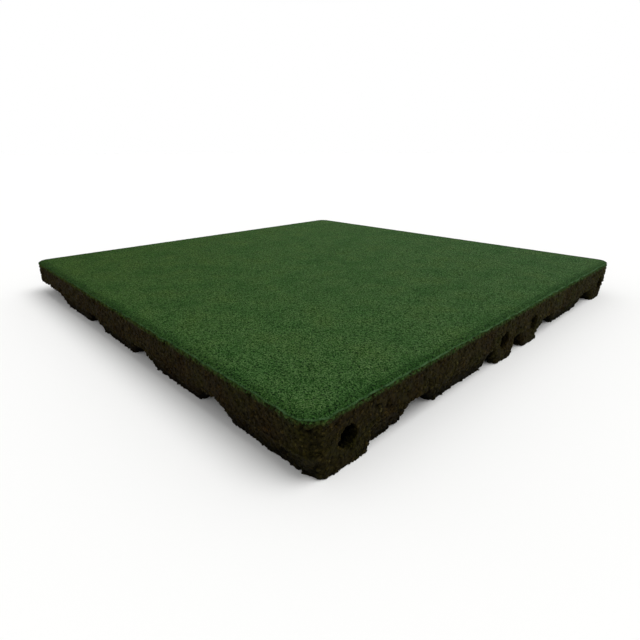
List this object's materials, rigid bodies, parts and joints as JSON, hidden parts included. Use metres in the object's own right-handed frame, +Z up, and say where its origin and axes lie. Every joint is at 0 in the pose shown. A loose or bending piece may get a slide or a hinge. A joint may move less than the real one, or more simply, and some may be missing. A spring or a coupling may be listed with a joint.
{
  "type": "rubber safety tile",
  "caption": "Square impact-absorbing floor tile of bonded rubber crumb with a green wear face, drained feet underneath and pin sockets in two opposite sides.",
  "frame": {"origin": "on the floor under the middle of the tile", "axes": "+Z up through the wear face, +X out of one pinned side, +Y out of a side without pins"},
  "size_m": [0.5, 0.5, 0.04],
  "materials": {
    "crumb_rubber": "matt bonded crumb, green granulate on the top and half way down its bevel, brown-black below"
  },
  "bodies": {
    "root": {"safety_tile": "crumb_rubber"}
  },
  "joints": []
}
